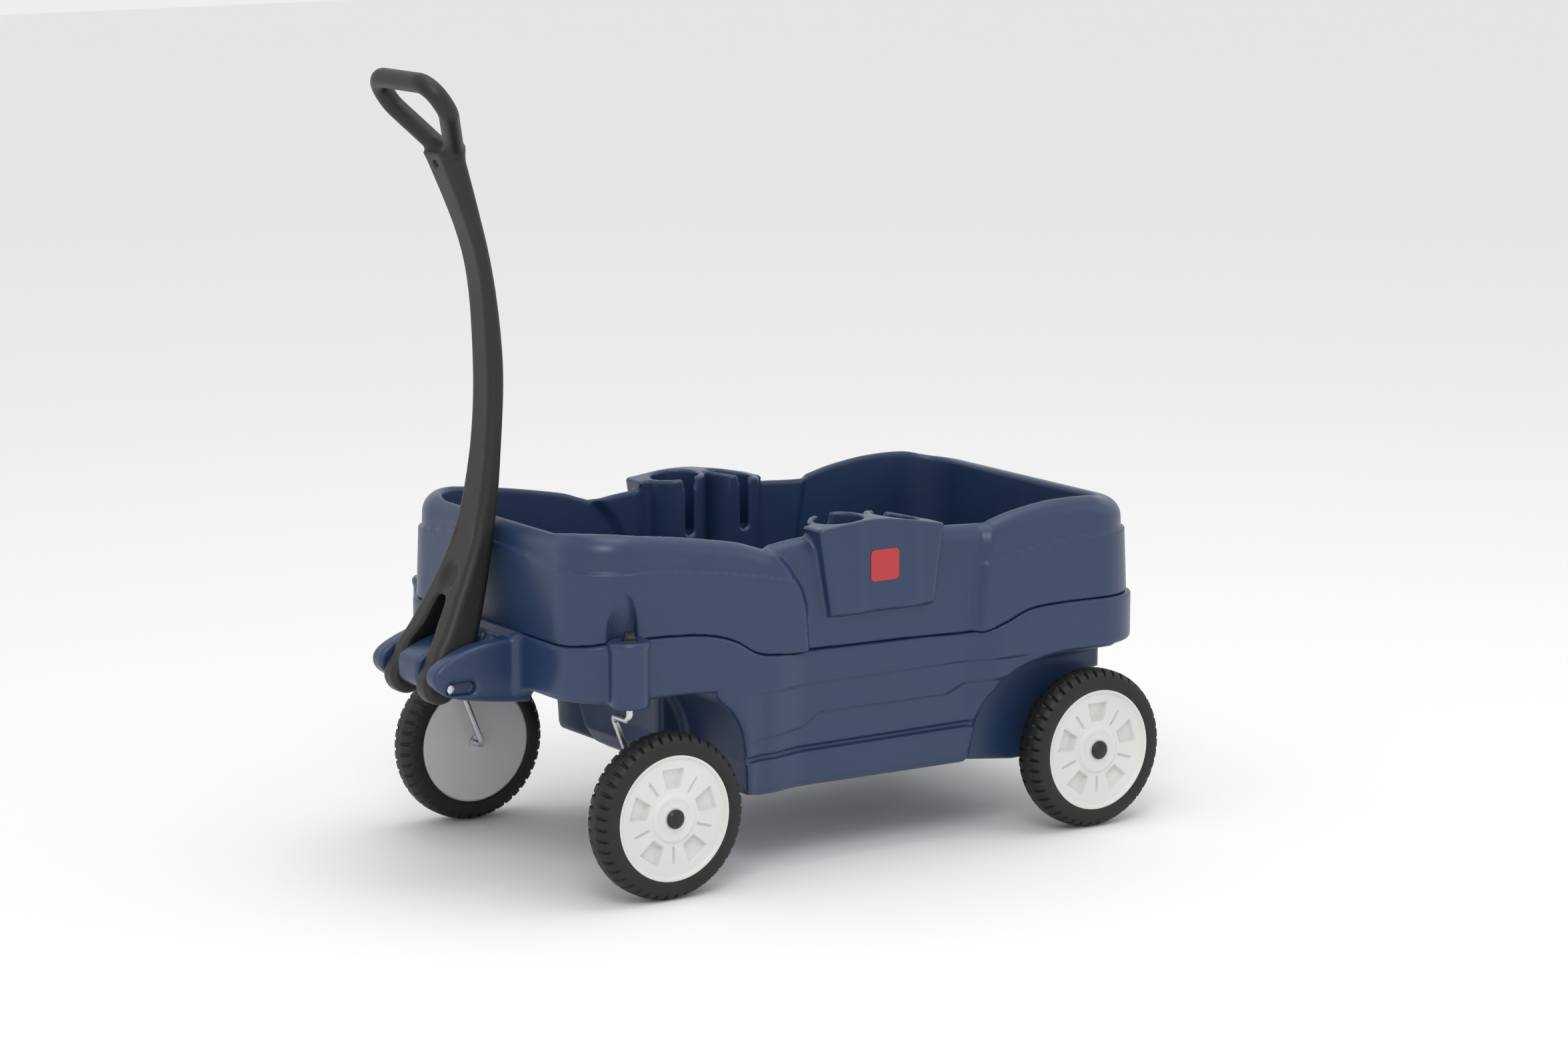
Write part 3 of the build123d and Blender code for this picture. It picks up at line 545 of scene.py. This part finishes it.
# ------------------------------------------------------------------ materials
def material(name, color, roughness, bumps, spots=None, metallic=0.0, coat=0.0):
    """Procedural plastic or metal: colour drift, roughness drift and layers of bump."""
    mat = bpy.data.materials.new(name)
    mat.use_nodes = True
    nodes, links = mat.node_tree.nodes, mat.node_tree.links
    shader = nodes["Principled BSDF"]
    shader.inputs["Metallic"].default_value = metallic
    shader.inputs["Coat Weight"].default_value = coat
    shader.inputs["Coat Roughness"].default_value = 0.25
    place = nodes.new("ShaderNodeTexCoord").outputs["Object"]

    drift = nodes.new("ShaderNodeTexNoise")
    drift.inputs["Scale"].default_value = 9
    drift.inputs["Detail"].default_value = 4
    links.new(place, drift.inputs["Vector"])
    ramp = nodes.new("ShaderNodeValToRGB")
    ramp.color_ramp.elements[0].position = 0.3
    ramp.color_ramp.elements[1].position = 0.7
    ramp.color_ramp.elements[0].color = (*[c * 0.94 for c in color], 1)
    ramp.color_ramp.elements[1].color = (*[min(c * 1.06, 1) for c in color], 1)
    links.new(drift.outputs["Fac"], ramp.inputs["Fac"])
    result = ramp.outputs["Color"]
    if spots:
        fleck = nodes.new("ShaderNodeTexNoise")
        fleck.inputs["Scale"].default_value = spots[0]
        fleck.inputs["Detail"].default_value = 6
        links.new(place, fleck.inputs["Vector"])
        mask = nodes.new("ShaderNodeMapRange")
        mask.inputs["From Min"].default_value = 0.56
        mask.inputs["From Max"].default_value = 0.72
        mask.inputs["To Max"].default_value = spots[2]
        links.new(fleck.outputs["Fac"], mask.inputs["Value"])
        mix = nodes.new("ShaderNodeMix")
        mix.data_type = "RGBA"
        mix.inputs["B"].default_value = (*spots[1], 1)
        links.new(mask.outputs["Result"], mix.inputs["Factor"])
        links.new(result, mix.inputs["A"])
        result = mix.outputs["Result"]
    links.new(result, shader.inputs["Base Color"])

    gloss = nodes.new("ShaderNodeMapRange")
    gloss.inputs["To Min"].default_value = roughness - 0.05
    gloss.inputs["To Max"].default_value = roughness + 0.07
    haze = nodes.new("ShaderNodeTexNoise")
    haze.inputs["Scale"].default_value = 34
    haze.inputs["Detail"].default_value = 5
    links.new(place, haze.inputs["Vector"])
    links.new(haze.outputs["Fac"], gloss.inputs["Value"])
    links.new(gloss.outputs["Result"], shader.inputs["Roughness"])

    normal = None
    for scale, depth in bumps:
        grain = nodes.new("ShaderNodeTexNoise")
        grain.inputs["Scale"].default_value = scale
        grain.inputs["Detail"].default_value = 3
        links.new(place, grain.inputs["Vector"])
        bump = nodes.new("ShaderNodeBump")
        bump.inputs["Distance"].default_value = depth
        bump.inputs["Strength"].default_value = 1
        links.new(grain.outputs["Fac"], bump.inputs["Height"])
        if normal:
            links.new(normal, bump.inputs["Normal"])
        normal = bump.outputs["Normal"]
    if normal:
        links.new(normal, shader.inputs["Normal"])
    return mat


def webbing_material():
    """Woven polyester: a twill of fine ribs across and along the strap."""
    mat = material("webbing", (0.012, 0.012, 0.013), 0.75, [(900, 0.0001)])
    nodes, links = mat.node_tree.nodes, mat.node_tree.links
    shader = nodes["Principled BSDF"]
    shader.inputs["Sheen Weight"].default_value = 0.3
    place = nodes.new("ShaderNodeTexCoord").outputs["Object"]
    height = None
    for direction, scale in (("Y", 260), ("DIAGONAL", 420)):
        wave = nodes.new("ShaderNodeTexWave")
        wave.bands_direction = direction
        wave.inputs["Scale"].default_value = scale
        links.new(place, wave.inputs["Vector"])
        if height is None:
            height = wave.outputs["Fac"]
        else:
            mul = nodes.new("ShaderNodeMath")
            mul.operation = "MULTIPLY"
            links.new(height, mul.inputs[0])
            links.new(wave.outputs["Fac"], mul.inputs[1])
            height = mul.outputs["Value"]
    bump = nodes.new("ShaderNodeBump")
    bump.inputs["Distance"].default_value = 0.0004
    links.new(height, bump.inputs["Height"])
    links.new(bump.outputs["Normal"], shader.inputs["Normal"])
    return mat


MATERIALS = {
    "body": material("body_plastic", (0.013, 0.033, 0.090), 0.36, [(420, 0.00012), (6, 0.0016)], coat=0.12),
    "handle": material("handle_plastic", (0.0075, 0.0072, 0.0068), 0.44, [(700, 0.0002), (60, 0.0003)]),
    "tyre": material(
        "tyre_plastic", (0.0045, 0.0045, 0.0045), 0.55, [(500, 0.0002), (90, 0.0003)],
        (40, (0.012, 0.0115, 0.011), 0.35),
    ),
    "wheel_white": material(
        "wheel_plastic", (0.68, 0.68, 0.66), 0.38, [(380, 0.0001)], (18, (0.60, 0.60, 0.57), 0.25),
    ),
    "nylon": material("nylon", (0.62, 0.61, 0.56), 0.45, [(500, 0.0001)]),
    "zinc": material(
        "zinc", (0.62, 0.63, 0.64), 0.3, [(900, 0.00008)], (60, (0.48, 0.50, 0.53), 0.6), metallic=1.0,
    ),
    "cap": material("cap_plastic", (0.008, 0.008, 0.008), 0.35, [(800, 0.0001)]),
    "badge": material("badge_enamel", (0.46, 0.006, 0.014), 0.28, [(300, 0.00005)], coat=0.5),
    "belt_plastic": material("belt_plastic", (0.010, 0.010, 0.010), 0.4, [(900, 0.00015)]),
    "webbing": webbing_material(),
}


def paint():
    """Every shown CAD node and piece gets its slot's material."""
    slots = {s["node"]: s["material_slot"] for s in frame["record"]["subparts"]}
    for name, node in frame["nodes"].items():
        node.data.materials.clear()
        node.data.materials.append(MATERIALS[slots[name]])
    for piece in bpy.context.scene.objects:
        if piece.type == "MESH" and "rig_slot" in piece:
            piece.data.materials.clear()
            piece.data.materials.append(MATERIALS[piece["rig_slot"]])


# ------------------------------------------------------------------ build
moulding("tub_shell", tub_field, (-490, 0, 112), (360, 228, 446), 2.4, "root", "body", ["tub"])
moulding("chassis_shell", chassis_field, (-498, 0, 84), (478, 264, 325), 2.6, "root", "body", ["chassis"])
moulding("handle_bar", handle_field, (335, 0, 222), (486, 84, 993), 2.1, "handle", "handle", ["handle"])

for name, side in SIDES.items():
    for end, x in AXLE_X.items():
        prefix, body = f"{end}_{name}", f"wheel_{end}_{name}"
        lathe(f"{prefix}_tread", TYRE_ROWS, x, WHEEL_R, side, body, "tyre", [f"{prefix}_tyre"], 880, tread)
        disc(prefix, x, side, body)
    belt(name, side)

paint()

# ------------------------------------------------------------------ studio
floor_mesh = bpy.data.meshes.new("floor")
reach = 14.0
corners = [(-reach, -reach, 0), (reach, -reach, 0), (reach, reach, 0), (-reach, reach, 0)]
floor_mesh.from_pydata(corners, [], [(0, 1, 2, 3)])
floor = bpy.data.objects.new("floor", floor_mesh)
bpy.context.scene.collection.objects.link(floor)
pale = bpy.data.materials.new("floor_pale")
pale.use_nodes = True
pale.node_tree.nodes["Principled BSDF"].inputs["Base Color"].default_value = (0.90, 0.90, 0.90, 1)
pale.node_tree.nodes["Principled BSDF"].inputs["Roughness"].default_value = 0.85
floor_mesh.materials.append(pale)

world = bpy.data.worlds.new("studio")
bpy.context.scene.world = world
bpy.context.scene.view_settings.view_transform = "Standard"
world.use_nodes = True
world.node_tree.nodes["Background"].inputs["Color"].default_value = (1.0, 1.0, 1.0, 1)
world.node_tree.nodes["Background"].inputs["Strength"].default_value = 0.86


def softbox(name, place, target, size, power):
    light = bpy.data.lights.new(name, "AREA")
    light.shape = "RECTANGLE"
    light.size, light.size_y = size
    light.energy = power
    lamp = bpy.data.objects.new(name, light)
    bpy.context.scene.collection.objects.link(lamp)
    lamp.location = place
    aim = Vector(target) - Vector(place)
    lamp.rotation_euler = aim.to_track_quat("-Z", "Y").to_euler()


softbox("key", (1.8, 2.6, 3.2), (0, 0, 0.3), (1.6, 1.6), 40)
softbox("top", (-0.4, 0.2, 3.6), (0, 0, 0.3), (2.2, 2.2), 24)
softbox("fill", (-3.2, 2.0, 1.8), (0, 0, 0.3), (2.0, 2.0), 6)

camera_data = bpy.data.cameras.new("camera")
camera_data.lens = 102.88
camera_data.sensor_width = 36
camera = bpy.data.objects.new("camera", camera_data)
bpy.context.scene.collection.objects.link(camera)
camera.location = (2.999 + SHIFT * MM + 0.029, 4.636, 1.423)
look = Vector((-0.5474, -0.8168, -0.1825))
camera.rotation_euler = look.to_track_quat("-Z", "Y").to_euler()
bpy.context.scene.camera = camera
